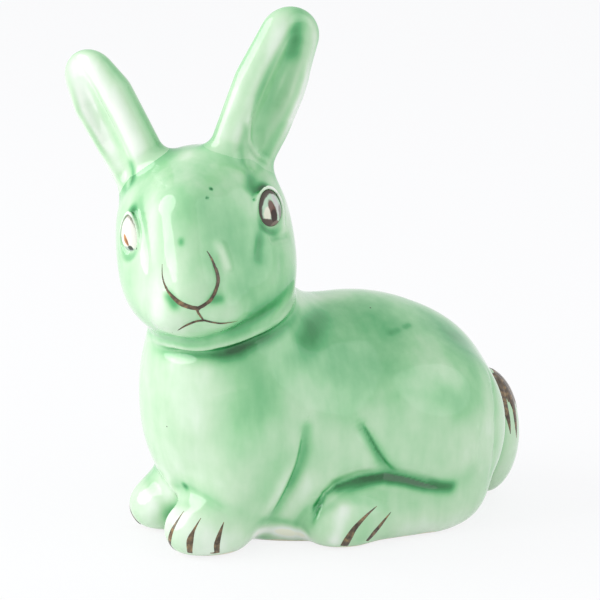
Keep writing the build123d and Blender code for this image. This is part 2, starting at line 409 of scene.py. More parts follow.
def onClay(pixels):
    right, up, back = shotAxes()
    eyePoint = np.array(shot["target"]) + back * shot["distance"]
    half = shot["imagePixels"] / 2
    rays = np.array([(right * (x - half) + up * (half - y)) / shot["focalPixels"] - back for x, y in pixels])
    rays = rays / np.linalg.norm(rays, axis=1)[:, None]
    far = np.full(len(rays), shot["distance"] - ray["startBefore"])
    best, bestFar = np.full(len(rays), 1e9), far.copy()
    for step in range(ray["steps"]):
        p = (eyePoint + rays * far[:, None]).astype(np.float32)
        gap = plainForm(p)
        closer = np.abs(gap) < best
        best, bestFar = np.where(closer, np.abs(gap), best), np.where(closer, far, bestFar)
        far = far + np.clip(gap, ray["back"], ray["ahead"]) * ray["stride"]
    p = (eyePoint + rays * bestFar[:, None]).astype(np.float32)
    for step in range(ray["settle"]):
        p = p - slopes(plainForm, p) * plainForm(p)[:, None]
        p[:, 2] = np.maximum(p[:, 2], ray["lowest"])
    return p


# Creases pressed into the leather-hard clay: pixels, width and depth in millimetres, whether the far side has
# them too, and for some towards which side of the picture, and by how many times, they are wider
creases = {
    "thighFront": ([(360, 421), (364, 429), (369, 438), (376, 451), (385, 464),
                    (394, 474)], 1.0, 0.9, True, (-1, 0.5, 2.2)),
    "footFront": ([(311, 524), (316, 508), (325, 495), (340, 485)], 1.0, 0.6, True),
    "footTop": ([(322, 497), (337, 487), (360, 478), (385, 474), (408, 478), (430, 485),
                 (446, 487)], 1.2, 1.5, True, (0, -1, 2.0)),
    "legRear": ([(305, 425), (304, 446), (299, 466), (285, 498), (270, 520)], 1.2, 1.1, True, (1, 0.4, 2.2)),
    "pawTop": ([(172, 487), (190, 490), (206, 499), (222, 509), (232, 528)], 1.7, 0.4, True),
    "tailGroove": ([(488, 370), (494, 390), (496, 420), (495, 450), (489, 482)], 1.1, 0.5, True),
    "mouth": ([(173, 331), (187, 324), (201, 320), (218, 323), (237, 322)], 1.0, 0.35, False),
    "lip": ([(197, 311), (199, 316), (201, 320)], 0.9, 0.3, False),
    "noseLeft": ([(164, 268), (166, 287), (176, 301), (196, 309)], 1.8, 0.6, False),
    "noseRight": ([(209, 252), (217, 264), (220, 282), (214, 300), (197, 309)], 1.8, 0.6, False),
    "browLeft": ([(253, 176), (253, 186)], 2.2, 0.5, False),
    "tearLeft": ([(263, 224), (260, 248), (257, 272)], 1.8, 0.7, False),
    "cheekLeft": ([(280, 246), (283, 268), (279, 288)], 1.8, 0.7, False),
    "cheekFold": ([(273, 239), (287, 235)], 1.2, 0.5, False),
    "tearRight": ([(141, 203), (143, 224), (147, 256), (150, 280)], 1.7, 0.6, False),
    "jawAbove": ([(158, 333), (178, 340), (217, 338), (250, 324), (290, 288)], 2.6, 1.0, False),
    "jawBelow": ([(150, 342), (178, 353), (222, 354), (257, 341), (296, 311)], 2.0, 1.2, False),
    "leftEarHollow": ([(299, 22), (296, 45), (287, 72), (274, 103), (266, 130)], 3.2, 0.8, False),
    "rightEarHollow": ([(80, 76), (92, 105), (108, 140), (122, 164)], 3.2, 1.2, False),
}
# Ridges that stand out of it, in the same way
ridges = {
    "jawRoll": ([(147, 335), (178, 346), (217, 344), (252, 333), (293, 302)], 1.6, 1.0, False),
    "rumpRib": ([(484, 412), (479, 430), (475, 446), (475, 462), (483, 480)], 1.5, 0.5, False),
    "legFront": ([(294, 456), (281, 485), (264, 516)], 1.8, 0.5, True),
    "leftEarFold": ([(255, 100), (249, 121), (249, 140), (256, 154), (270, 166)], 0.9, 0.45, False),
    "leftEarRim": ([(314, 40), (305, 80), (290, 120), (281, 148)], 1.6, 0.7, False),
    "noseSide": ([(221, 247), (228, 266)], 1.6, 0.4, False),
}


def placedPaths(marks):
    paths = []
    right, up, back = shotAxes()
    for pixels, width, deep, both, *lean in marks.values():
        path = onClay(pixels)
        soft = None
        if lean:
            sideways, down, times = lean[0]
            soft = ((right * sideways - up * down).astype(np.float32), times)
        skin = slopes(plainForm, path)
        paths.append((path, width, deep, skin, soft))
        if both:
            farSoft = soft and (soft[0] * mirror, soft[1])
            paths.append((path * mirror, width, deep, skin * mirror, farSoft))
    return paths


creasePaths = placedPaths(creases)
ridgePaths = placedPaths(ridges)
print("marks placed", len(creasePaths) + len(ridgePaths))

eyeSpots = inHead(onClay([eye["leftPixel"], eye["rightPixel"]]))


def eyeFrame(side):
    turn = math.radians(ofSide(eye, side, "Turn"))
    out = np.array([math.cos(turn) * side, -math.sin(turn), eye["upward"]])
    out = out / np.linalg.norm(out)
    level = np.cross([0, 0, 1.0], out)
    level = level / np.linalg.norm(level)
    upright = np.cross(out, level)
    roll = math.radians(ofSide(eye, side, "Roll"))
    across = level * math.cos(roll) + upright * math.sin(roll)
    axes = np.stack([across, np.cross(out, across), out], 1).astype(np.float32)
    return eyeSpots[0 if side > 0 else 1], axes


def setEyes(d, q):
    for side in (1, -1):
        spot, axes = eyeFrame(side)
        near = ((q - spot) ** 2).sum(1) < eye["reach"] ** 2
        if near.any():
            local = (q[near] - spot) @ axes
            socket = egg(local, (0, 0, eye["socketLift"]), eye["socket"])
            cut = carve(d[near], -socket, eye["meltSocket"])
            across, upward = eye["lid"]
            wide, taper = ofSide(eye, side, "Shape")
            narrowed = across * wide * (1 - taper * np.clip(local[:, 1] / upward, -1, 1))
            ring = np.hypot(local[:, 0] / narrowed, local[:, 1] / upward)
            aside = (ring - 1) * (across + upward) / 2
            lid = np.hypot(aside, local[:, 2] + eye["lidSink"]) - eye["lidRadius"]
            d[near] = melt(cut, lid, eye["meltLid"])
    return d


# The flat base and the kiln vent in it
base = {"edge": 2.0, "ventRadius": 3.0, "ventBehind": 16.0, "ventDepth": 14.0, "ventEdge": 0.4}
# How steeply and how far a piece dives under its neighbour, the room round its box, and the share of the dive
# where its normals are still those of the whole figure
seam = {"dive": 0.45, "overlap": 1.6, "margin": 13, "normalsTurn": 0.7}


def finishedForm(p, fields):
    d = joined(fields)
    d = setEyes(d, inHead(p))
    for sign, paths in ((1, creasePaths), (-1, ridgePaths)):
        for path, width, deep, skin, soft in paths:
            widest = width * (soft[1] if soft else 1)
            near = nearPath(p, path, markFade["widths"] * widest + markFade["spare"])
            if near.any():
                d[near] += sign * deep * alongPath(p[near], path, width, markFade["creaseEnds"], skin, soft)
    shaft = np.hypot(p[:, 0], p[:, 1] - base["ventBehind"]) - base["ventRadius"]
    vent = np.maximum(shaft, p[:, 2] - base["ventDepth"])
    return carve(carve(d, -p[:, 2], base["edge"]), -vent, base["ventEdge"])


def pieceForm(p, index):
    fields = pieceFields(p)
    whole = finishedForm(p, fields)
    others = np.minimum.reduce([f for i, f in enumerate(fields) if i != index])
    beyond = (fields[index] - others) / 2
    return np.maximum(whole + seam["dive"] * np.maximum(beyond, 0), beyond - seam["overlap"]), whole, beyond


def inChunks(function, p, size=40000, workers=4):
    with ThreadPoolExecutor(workers) as pool:
        parts = list(pool.map(function, [p[i:i + size] for i in range(0, len(p), size)]))
    return [np.concatenate(part) for part in zip(*parts)]


# A coarse grid finds the blocks near the skin, and only those are worked out in full
sculpting = {"block": 4, "nearBlocks": 1.7, "bandSteps": 3, "settle": 2}


def sculpt(index, voxel):
    def form(p):
        return pieceForm(p, index)

    def surface(p):
        return inChunks(form, p)[0]

    def wholeSurface(p):
        return inChunks(form, p)[1]

    low, high = (np.array(corner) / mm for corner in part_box(pieceNames[index]))
    low, high = low - seam["margin"], high + seam["margin"]
    block, band = sculpting["block"], sculpting["bandSteps"] * voxel
    counts = np.ceil((high - low) / (voxel * block)).astype(int) + 1
    axes = [low[a] + (np.arange(counts[a]) + 0.5) * voxel * block - voxel / 2 for a in range(3)]
    coarse = np.stack(np.meshgrid(*axes, indexing="ij"), -1).reshape(-1, 3).astype(np.float32)
    rough = surface(coarse)
    close = (np.abs(rough) < voxel * block * sculpting["nearBlocks"]).reshape(counts)
    values = np.where(rough > 0, band, -band).astype(np.float32).reshape(counts)
    values = values.repeat(block, 0).repeat(block, 1).repeat(block, 2)
    fine = np.argwhere(close.repeat(block, 0).repeat(block, 1).repeat(block, 2))
    values[tuple(fine.T)] = surface((low + fine * voxel).astype(np.float32))
    grid = openvdb.FloatGrid(background=band)
    grid.copyFromArray(np.clip(values, -band, band))
    points, quads = grid.convertToQuads(0.0)
    p = (low + points * voxel).astype(np.float32)
    for step in range(sculpting["settle"]):
        p = p - slopes(surface, p) * surface(p)[:, None]
    beyond = inChunks(form, p)[2]
    turnAt = seam["overlap"] * seam["normalsTurn"]
    normals = np.where((beyond < turnAt)[:, None], slopes(wholeSurface, p), slopes(surface, p))
    return p, quads, normals


def meshOf(name, p, quads, normals):
    faceNormal = np.cross(p[quads[:, 2]] - p[quads[:, 0]], p[quads[:, 3]] - p[quads[:, 1]])
    if (faceNormal * normals[quads[:, 0]]).sum() < 0:
        quads = quads[:, ::-1]
    mesh = bpy.data.meshes.new(name)
    mesh.vertices.add(len(p))
    mesh.vertices.foreach_set("co", (p * mm).astype(np.float32).ravel())
    mesh.loops.add(quads.size)
    mesh.loops.foreach_set("vertex_index", np.ascontiguousarray(quads, dtype=np.int32).ravel())
    mesh.polygons.add(len(quads))
    mesh.polygons.foreach_set("loop_start", np.arange(0, quads.size, 4, dtype=np.int32))
    mesh.polygons.foreach_set("use_smooth", np.ones(len(quads), bool))
    mesh.update(calc_edges=True)
    mesh.validate()
    mesh.normals_split_custom_set_from_vertices(normals.astype(np.float32))
    return mesh


# Glaze depth over the clay, with the ears' own: deeper in narrow and wide hollows and broken thin on ridges,
# by a reach in millimetres and an amount. Deeper is darker green, so the darkening in the hollows is partly
# glaze run together and partly painted shade. A pool, painted shade or painted highlight ends a little round
# the side that it lies on
depthAndShade = {
    "plain": 0.42,
    "left_ear": 0.33,
    # The right ear has less depth than the left: painted light, paler on the side the light falls on
    "right_ear": 0.2,
    "narrow": (2.0, 1.05),
    "wide": (7.0, 0.45),
    "ridge": (2.5, -0.32),
    "roundTheSide": 0.4,
}
# Pools and thin places that the photograph shows, with painted shade and painted highlights: pixels, size in
# millimetres and how much deeper it is there. Darker entries are partly glaze pooled deep and partly painted
# shade (back, nape, shoulder, breast, jaw); paler ones are painted highlights (face side, muzzle, chest,
# paws, between the paws, toe, heel, crown, ear edges); the pinholes and the bubble are flaws of the glaze
poolsAndPaintedLight = {
    "bellyArc": ([(262, 520), (285, 522), (308, 533)], 1.5, 0.2),
    "footGreen": ([(385, 538), (410, 538)], 3.0, 0.12),
    "rumpDark": ([(445, 398), (456, 408)], 5.0, 0.16),
    "rumpLight": ([(415, 352), (455, 380)], 9.0, -0.08),
    "backMarkTwo": ([(405, 327), (409, 325)], 0.9, 0.2),
    "backRear": ([(428, 312), (455, 336), (474, 388)], 9.0, 0.36),
    "underChinPale": ([(172, 353), (205, 360)], 4.0, -0.16),
    "underJaw": ([(165, 348), (190, 355), (222, 354), (257, 340), (285, 318)], 3.0, 0.05),
    "underChin": ([(222, 353), (238, 349), (257, 338), (270, 328)], 2.5, 0.34),
    "jaw": ([(161, 336), (200, 341), (250, 322), (292, 284)], 3.5, 0.18),
    "nape": ([(318, 316), (312, 328), (306, 342), (303, 354)], 4.5, 0.42),
    "shoulder": ([(322, 345), (335, 368), (347, 400)], 7.0, 0.16),
    "back": ([(340, 303), (368, 312), (385, 345)], 12.0, 0.34),
    "backMark": ([(391, 333), (398, 330)], 1.0, 0.15),
    "breast": ([(240, 365), (258, 385), (252, 412), (245, 440)], 9.0, 0.25),
    "legRear": ([(307, 428), (306, 448), (301, 467), (289, 492), (275, 512)], 1.7, 0.3),
    "legPale": ([(296, 462), (281, 488), (266, 512)], 1.5, -0.12),
    "leftEarTop": ([(299, 17), (297, 32), (294, 52)], 2.7, 0.52),
    "leftEarHollow": ([(296, 45), (285, 74), (272, 104), (263, 130), (264, 148)], 2.8, 0.2),
    "rightEarSlit": ([(131, 165), (132, 180)], 1.8, 0.4),
    "rightEarBack": ([(103, 58), (140, 112), (161, 150)], 2.6, 0.06),
    "brow": ([(252, 178), (252, 187)], 2.4, 0.36),
    "browRight": ([(140, 200), (142, 214), (144, 228)], 1.6, 0.14),
    "tear": ([(262, 228), (260, 242), (258, 258)], 1.7, 0.38),
    "cheek": ([(250, 285), (272, 262)], 6.0, 0.12),
    "noseLeft": ([(168, 297), (174, 305)], 1.6, 0.5),
    "noseRight": ([(214, 300), (220, 299)], 1.3, 0.35),
    "bubble": ([(181, 241), (181, 243)], 0.9, 0.3),
    "pinholeUpper": ([(211, 188.7), (211.3, 189)], 0.4, 1.1),
    "pinholeLower": ([(207, 197.7), (207.3, 198)], 0.3, 0.9),
    "pinholeBrow": ([(254, 200), (254.3, 200.2)], 0.3, 0.9),
    "noseSide": ([(216, 243), (221, 252), (226, 268)], 1.3, -0.16),
    "jawRight": ([(240, 327), (270, 306), (291, 284)], 4.0, 0.28),
    "forehead": ([(205, 212), (232, 232), (250, 258)], 7.0, 0.13),
    "browWide": ([(178, 186), (205, 180), (240, 178)], 10.0, 0.05),
    "foreheadRight": ([(170, 196), (174, 206)], 6.0, 0.14),
    "footFront": ([(314, 526), (318, 512), (326, 500), (345, 487)], 1.4, 0.05),
    "footTop": ([(340, 488), (366, 481), (385, 478), (405, 481), (426, 486), (450, 487)], 1.8, 0.85),
    "thigh": ([(362, 426), (369, 438), (384, 464), (392, 473)], 1.7, 0.42),
    "thighPale": ([(368, 398), (364, 430), (371, 457)], 5.0, -0.14),
    "chestFoot": ([(166, 482), (185, 490), (215, 482)], 8.0, -0.22),
    "leftEarSide": ([(216, 138), (222, 112), (236, 75), (255, 35), (272, 14)], 3.2, -0.2),
    "leftEarTip": ([(270, 16), (290, 9), (308, 16)], 2.6, -0.16),
    "earFoot": ([(262, 172), (272, 178)], 3.0, -0.14),
    "crown": ([(168, 153), (190, 153), (212, 150)], 3.5, -0.25),
    "backTop": ([(300, 301), (318, 297), (336, 295)], 4.0, -0.3),
    "leftEarFace": ([(244, 125), (252, 95), (264, 60)], 3.5, 0.12),
    "betweenPaws": ([(160, 478), (170, 495), (172, 510)], 5.0, -0.35),
    "heelFold": ([(438, 487), (470, 472)], 4.0, 0.1),
    "rumpEdge": ([(478, 365), (487, 395), (489, 430)], 2.5, -0.15),
    "bridge": ([(205, 215), (208, 245), (200, 275)], 5.0, 0.1),
    "leftEarEdge": ([(313, 38), (304, 78), (290, 115)], 2.6, -0.08),
    "bellySide": ([(283, 508), (308, 488)], 5.0, -0.14),
    "foreleg": ([(290, 455), (272, 480), (250, 510)], 4.0, 0.08),
    "pawSpot": ([(184, 486), (185, 487)], 1.0, 0.5),
    "chestSide": ([(165, 380), (160, 420)], 12.0, -0.05),
    "chestFront": ([(195, 385), (195, 405)], 8.0, -0.12),
    "paw": ([(180, 520), (205, 545), (228, 545)], 7.0, -0.2),
    "farPaw": ([(150, 490), (158, 505), (172, 502)], 6.0, -0.18),
    "leftEarFront": ([(219, 140), (227, 115), (238, 88), (257, 49)], 1.6, -0.14),
    "rightEarFront": ([(75, 70), (95, 110), (118, 165)], 7.0, -0.08),
    "rightEarHollow": ([(92, 98), (110, 132), (127, 168)], 3.0, 0.12),
    "faceSide": ([(152, 210), (146, 250), (150, 295)], 6.5, -0.3),
    "muzzle": ([(170, 270), (160, 300), (165, 325)], 5.0, -0.14),
    "haunch": ([(395, 400), (430, 430)], 14.0, 0.08),
    "toe": ([(335, 541), (344, 509)], 2.2, -0.26),
    "heel": ([(400, 535), (450, 528)], 6.0, -0.12),
    "bellyFoot": ([(258, 533), (302, 535)], 2.6, -0.6),
    "tail": ([(508, 430), (506, 465)], 9.0, -0.04),
    "lidRear": ([(286, 200), (285, 225)], 2.0, -0.15),
    "leftLid": ([(258, 205), (260, 194), (268, 187), (280, 198), (284, 215), (274, 229), (262, 222),
                 (258, 205)], 2.0, 0.08),
    "rightLid": ([(122, 225), (127, 216), (135, 224), (137, 240), (133, 252), (124, 245),
                  (121, 232)], 2.0, 0.08),
}
poolAndLightPaths = []
for pixels, size, amount in poolsAndPaintedLight.values():
    path = onClay(pixels)
    poolAndLightPaths.append((path, size, amount, slopes(plainForm, path).mean(0)))


def glazeDepths(name, p, normals):
    def outer(q):
        return inChunks(lambda r: [finishedForm(r, pieceFields(r))], q)[0]

    total = np.full(len(p), depthAndShade.get(name, depthAndShade["plain"]), np.float32)
    for key in ("narrow", "wide"):
        reach, amount = depthAndShade[key]
        total += amount * np.clip(1 - outer(p + normals * reach) / reach, 0, 1)
    reach, amount = depthAndShade["ridge"]
    total += amount * np.clip(1 + outer(p - normals * reach) / reach, 0, 1)
    # The listed pools add here, and with them the painted shade and painted highlights
    for path, size, amount, facing in poolAndLightPaths:
        near = nearPath(p, path, markFade["widths"] * size)
        sameSide = np.clip(normals[near] @ facing + depthAndShade["roundTheSide"], 0, 1)
        total[near] += amount * sameSide * alongPath(p[near], path, size, markFade["poolAndLightEnds"])
    return total


# Materials
def linear(hexColour):
    parts = [int(hexColour[i:i + 2], 16) / 255 for i in (1, 3, 5)]
    return tuple(c / 12.92 if c <= 0.04045 else ((c + 0.055) / 1.055) ** 2.4 for c in parts) + (1.0,)


def feed(tree, node, **inputs):
    for key, value in inputs.items():
        numbered = key[0] == "i" and key[1:].isdigit()
        socket = node.inputs[int(key[1:]) if numbered else key.replace("_", " ")]
        if isinstance(value, bpy.types.NodeSocket):
            tree.links.new(value, socket)
        else:
            socket.default_value = value


def addNode(tree, kind, settings=None, **inputs):
    made = tree.nodes.new(kind)
    for key, value in (settings or {}).items():
        setattr(made, key, value)
    feed(tree, made, **inputs)
    return made


def maths(tree, operation, *values):
    inputs = {"i" + str(i): value for i, value in enumerate(values)}
    return addNode(tree, "ShaderNodeMath", {"operation": operation}, **inputs).outputs[0]


def vectors(tree, operation, *values):
    inputs = {"i" + str(i): value for i, value in enumerate(values)}
    made = addNode(tree, "ShaderNodeVectorMath", {"operation": operation}, **inputs)
    return made.outputs["Value" if operation in ("LENGTH", "DOT_PRODUCT") else "Vector"]


def painted(tree, under, mask, colour):
    return addNode(tree, "ShaderNodeMix", {"data_type": "RGBA"}, Factor=mask, i6=under,
                   i7=linear(colour)).outputs[2]


def smoothEdge(tree, value, start, end, **ends):
    return addNode(tree, "ShaderNodeMapRange", {"interpolation_type": "SMOOTHSTEP"}, Value=value,
                   From_Min=start, From_Max=end, **ends).outputs[0]


def newMaterial(name):
    material = bpy.data.materials.new(name)
    material.use_nodes = True
    tree = material.node_tree
    return material, tree, tree.nodes["Principled BSDF"]


def perMetre(sizeMm):
    return 1 / (sizeMm * mm)


def setRamp(ramp, stops):
    elements = ramp.color_ramp.elements
    while len(elements) < len(stops):
        elements.new(0.5)
    for element, (place, colour) in zip(elements, stops):
        element.position = place
        element.color = linear(colour)


# Celadon-green glaze on earthenware: a clear coloured glass, pale where it breaks over ridges,
# deep where it runs together, with slow mottling, a few pinholes and a wiped cream foot. Its colour
# follows the depth, so painted shade shows as deeper green and painted highlights as the near-white stops
celadon = {
    # The near-white first stops show thin glaze on ridges and the painted highlights
    "stops": [(0.0, "#f4f2e0"), (0.07, "#f1f4ec"), (0.16, "#e2ecdf"), (0.32, "#bddbb9"), (0.47, "#92ca96"),
              (0.62, "#5bae70"), (0.78, "#2e8b4b"), (1.0, "#0e5b28")],
    "spread": 0.78,
    # size in millimetres, amount, detail, roughness and upright stretch: two of mottling, one of runs
    "clouds": [(24.0, 0.14, 3.0, 0.55, 1.0), (7.0, 0.06, 3.0, 0.55, 1.0), (4.0, 0.08, 2.0, 0.5, 0.3)],
    "pinholeSpacing": 12.0,
    "pinhole": 0.3,
    "pinholesLeftOut": 0.45,
    "pinholeColour": "#3d4d3a",
    "pinholeBump": (0.5, 0.2),
    "footHeight": 1.2,
    "footRagged": (7.0, 1.6),
    "footFade": 0.25,
    "footColour": "#efe6cf",
    "footRoughness": 0.7,
    "roughness": 0.09,
    "wave": 9.0,
    "waveBump": (0.25, 0.35),
    "ior": 1.6,
}


def celadonGlaze():
    material, tree, shader = newMaterial("celadonGlazeOnEarthenware")
    place = addNode(tree, "ShaderNodeTexCoord").outputs["Object"]
    # This depth carries painted shade and painted highlights as well as the glaze's own depth
    value = addNode(tree, "ShaderNodeAttribute", {"attribute_name": "glazeDepthAndShade"}).outputs["Fac"]
    for size, amount, detail, roughness, stretch in celadon["clouds"]:
        drawn = addNode(tree, "ShaderNodeMapping", Vector=place, Scale=(1.0, 1.0, stretch))
        noise = addNode(tree, "ShaderNodeTexNoise", Vector=drawn.outputs[0], Scale=perMetre(size),
                        Detail=detail, Roughness=roughness)
        centred = maths(tree, "SUBTRACT", noise.outputs["Fac"], 0.5)
        value = maths(tree, "MULTIPLY_ADD", centred, amount * 2, value)
    ramp = addNode(tree, "ShaderNodeValToRGB", Fac=maths(tree, "MULTIPLY", value, celadon["spread"]))
    setRamp(ramp, celadon["stops"])

    spacing = celadon["pinholeSpacing"]
    cells = addNode(tree, "ShaderNodeTexVoronoi", Vector=place, Scale=perMetre(spacing)).outputs
    hole = maths(tree, "LESS_THAN", cells["Distance"], celadon["pinhole"] / spacing)
    chance = addNode(tree, "ShaderNodeSeparateColor", Color=cells["Color"])
    kept = maths(tree, "GREATER_THAN", chance.outputs[0], celadon["pinholesLeftOut"])
    pinholes = maths(tree, "MULTIPLY", hole, kept)
    colour = painted(tree, ramp.outputs["Color"], pinholes, celadon["pinholeColour"])

    height = addNode(tree, "ShaderNodeSeparateXYZ", Vector=place)
    size, ragged = celadon["footRagged"]
    noise = addNode(tree, "ShaderNodeTexNoise", Vector=place, Scale=perMetre(size), Detail=4.0)
    edge = maths(tree, "MULTIPLY_ADD", noise.outputs["Fac"], -ragged * celadon["footHeight"] * mm,
                 height.outputs["Z"])
    foot = smoothEdge(tree, edge, 0.0, celadon["footFade"] * mm, To_Min=1.0, To_Max=0.0)
    colour = painted(tree, colour, foot, celadon["footColour"])
    gloss = addNode(tree, "ShaderNodeMapRange", Value=foot, To_Min=celadon["roughness"],
                    To_Max=celadon["footRoughness"])

    wave = addNode(tree, "ShaderNodeTexNoise", Vector=place, Scale=perMetre(celadon["wave"]), Detail=1.0)
    strength, high = celadon["waveBump"]
    bump = addNode(tree, "ShaderNodeBump", Strength=strength, Distance=high * mm, Height=wave.outputs["Fac"])
    strength, high = celadon["pinholeBump"]
    pits = addNode(tree, "ShaderNodeBump", {"invert": True}, Strength=strength, Distance=high * mm,
                   Height=pinholes, Normal=bump.outputs[0])
    feed(tree, shader, Base_Color=colour, Roughness=gloss.outputs[0], IOR=celadon["ior"],
         Normal=pits.outputs[0])
    return material


# Iron-brown enamel brushed onto the glaze, dark where it lies thick and paler where it thins
enamel = {
    "stops": [(0.36, "#43372b"), (0.52, "#64533f"), (0.68, "#937750")],
    "grain": 1.6,
    "roughness": 0.16,
    "ior": 1.5,
    "bump": (0.2, 0.05),
}


def brownEnamel():
    material, tree, shader = newMaterial("ironBrownEnamel")
    place = addNode(tree, "ShaderNodeTexCoord").outputs["Object"]
    noise = addNode(tree, "ShaderNodeTexNoise", Vector=place, Scale=perMetre(enamel["grain"]), Detail=3.0)
    ramp = addNode(tree, "ShaderNodeValToRGB", Fac=noise.outputs["Fac"])
    setRamp(ramp, enamel["stops"])
    strength, high = enamel["bump"]
    bump = addNode(tree, "ShaderNodeBump", Strength=strength, Distance=high * mm, Height=noise.outputs["Fac"])
    feed(tree, shader, Base_Color=ramp.outputs["Color"], Roughness=enamel["roughness"], IOR=enamel["ior"],
         Normal=bump.outputs[0])
    return material


# Painted eyes under clear glaze: pale ground, brown pupil, light slashes that are painted highlights, and a
# line round inside the lid. The right eye's cream ground, paler than the left eye's green-grey one, is partly
# painted light on the lit side of the face. A mark has its centre and radii as shares of the eye, its turn
# and its colour
eyePaintAndGlints = {
    "left_eye": {
        "ground": "#b4d2b8",
        "marks": [
            # The first two marks are light slashes: painted highlights, reflections in the glossy eye
            ((-0.36, -0.2), (0.3, 0.4), 0.0, "#e3e3d0"),
            ((0.4, 0.15), (0.22, 0.85), 0.5, "#c9cac6"),
            ((0.72, -0.3), (0.2, 0.6), 0.2, "#8f8f88"),
            ((0.02, -0.05), (0.28, 0.66), 0.5, "#6a4a40"),
            ((0.12, -0.36), (0.3, 0.42), 0.3, "#35231e"),
            ((-0.35, -0.66), (0.55, 0.24), -0.1, "#584a42"),
            ((0.3, -0.75), (0.4, 0.2), 0.2, "#7a6a5e"),
        ],
        "line": 0.17,
        "lineColour": "#4d453c",
    },
    "right_eye": {
        # A paler ground than the left eye's: partly painted light on the lit side of the face
        "ground": "#efeee4",
        "marks": [
            ((0.0, -0.9), (1.0, 0.35), 0.0, "#a9bdb0"),
            ((-0.05, -0.25), (0.22, 0.38), 0.5, "#c58a55"),
            ((0.05, -0.35), (0.1, 0.25), 0.5, "#8a5a38"),
            ((0.22, -0.66), (0.24, 0.15), 0.0, "#3f4a3d"),
        ],
        "line": 0.08,
        "lineColour": "#9d988b",
    },
}
eyeBrush = {
    "wobbleScale": 3.0,
    "wobble": 0.14,
    "markEdge": 0.7,
    "lineEdge": 0.1,
    "lineLean": (-0.1, 0.06, 0.0),
    "roughness": 0.06,
    "ior": 1.5,
}


def eyeEnamel(name):
    paint = eyePaintAndGlints[name]
    material, tree, shader = newMaterial(name + "Enamel")
    flat = addNode(tree, "ShaderNodeUVMap", {"uv_map": "eyeFace"}).outputs[0]
    noise = addNode(tree, "ShaderNodeTexNoise", Vector=flat, Scale=eyeBrush["wobbleScale"], Detail=2.0)
    wobble = eyeBrush["wobble"]
    shaken = vectors(tree, "MULTIPLY_ADD", noise.outputs["Color"], (wobble, wobble, 0.0), flat)
    place = vectors(tree, "SUBTRACT", shaken, (wobble / 2, wobble / 2, 0.0))
    colour = linear(paint["ground"])
    for centre, radii, turn, shade in paint["marks"]:
        local = addNode(tree, "ShaderNodeMapping", {"vector_type": "TEXTURE"}, Vector=place,
                        Location=(*centre, 0.0), Rotation=(0.0, 0.0, turn), Scale=(*radii, 1.0))
        reach = vectors(tree, "LENGTH", local.outputs[0])
        mask = smoothEdge(tree, reach, eyeBrush["markEdge"], 1.0, To_Min=1.0, To_Max=0.0)
        colour = painted(tree, colour, mask, shade)
    leaning = vectors(tree, "DOT_PRODUCT", place, eyeBrush["lineLean"])
    wide = maths(tree, "ADD", vectors(tree, "LENGTH", place), leaning)
    lineEnd = 1.0 - paint["line"]
    line = smoothEdge(tree, wide, lineEnd - eyeBrush["lineEdge"], lineEnd)
    colour = painted(tree, colour, line, paint["lineColour"])
    feed(tree, shader, Base_Color=colour, Roughness=eyeBrush["roughness"], IOR=eyeBrush["ior"])
    return material


glaze = celadonGlaze()
brown = brownEnamel()
print("materials made")


def keepPiece(name, mesh, slotName, *nodes):
    piece = newObject(name, mesh)
    if nodes:
        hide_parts(*nodes)
    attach(piece, "root")
    return piece


# Clay pieces
glazed = {}
for index, name in enumerate(pieceNames):
    points, quads, normals = sculpt(index, gridSteps[index])
    mesh = meshOf(name + "_glazed", points, quads, normals)
    # Depth of glaze at each point, with the painted shade and painted highlights in it
    layer = mesh.attributes.new("glazeDepthAndShade", "FLOAT", "POINT")
    layer.data.foreach_set("value", glazeDepths(name, points, normals))
    mesh.materials.append(glaze)
    glazed[name] = keepPiece(name + "_glazed", mesh, "celadon_glaze", name)
    print("sculpted", name, len(points), "points")


# Eyes: low domes in the lids, their painted face on a flat map across the eye
eyeRings = {"around": 48, "rings": 20}


def eyeDome(name, side):
    spot, axes = eyeFrame(side)
    around, rings = eyeRings["around"], eyeRings["rings"]
    turns = np.linspace(0, 2 * math.pi, around, endpoint=False)
    tilts = np.linspace(0, math.pi, rings + 1)[1:-1]
    unit = [(0, 0, 1)] + [(math.sin(t) * math.cos(a), math.sin(t) * math.sin(a), math.cos(t))
                          for t in tilts for a in turns] + [(0, 0, -1)]
    unit = np.array(unit, np.float32)
    local = unit * np.array(eye["dome"], np.float32) + np.array([0, 0, -eye["domeSink"]], np.float32)
    wide, taper = ofSide(eye, side, "Shape")
    local[:, 0] *= wide * (1 - taper * unit[:, 1])
    points = outOfHead(local @ axes.T + spot)
    faces = [(0, 1 + i, 1 + (i + 1) % around) for i in range(around)]
    for row in range(rings - 2):
        first = 1 + row * around
        for i in range(around):
            j = (i + 1) % around
            faces.append((first + i, first + around + i, first + around + j, first + j))
    last = 1 + (rings - 2) * around
    faces += [(len(points) - 1, last + (i + 1) % around, last + i) for i in range(around)]
    mesh = bpy.data.meshes.new(name)
    mesh.from_pydata((points * mm).tolist(), [], faces)
    for polygon in mesh.polygons:
        polygon.use_smooth = True
    flat = mesh.uv_layers.new(name="eyeFace")
    for loop in mesh.loops:
        flat.data[loop.index].uv = unit[loop.vertex_index][:2]
    return mesh


for side, name in ((1, "left_eye"), (-1, "right_eye")):
    mesh = eyeDome(name + "_enamelled", side)
    mesh.materials.append(eyeEnamel(name))
    keepPiece(name + "_enamelled", mesh, "eye_enamel", name)
print("eyes set")


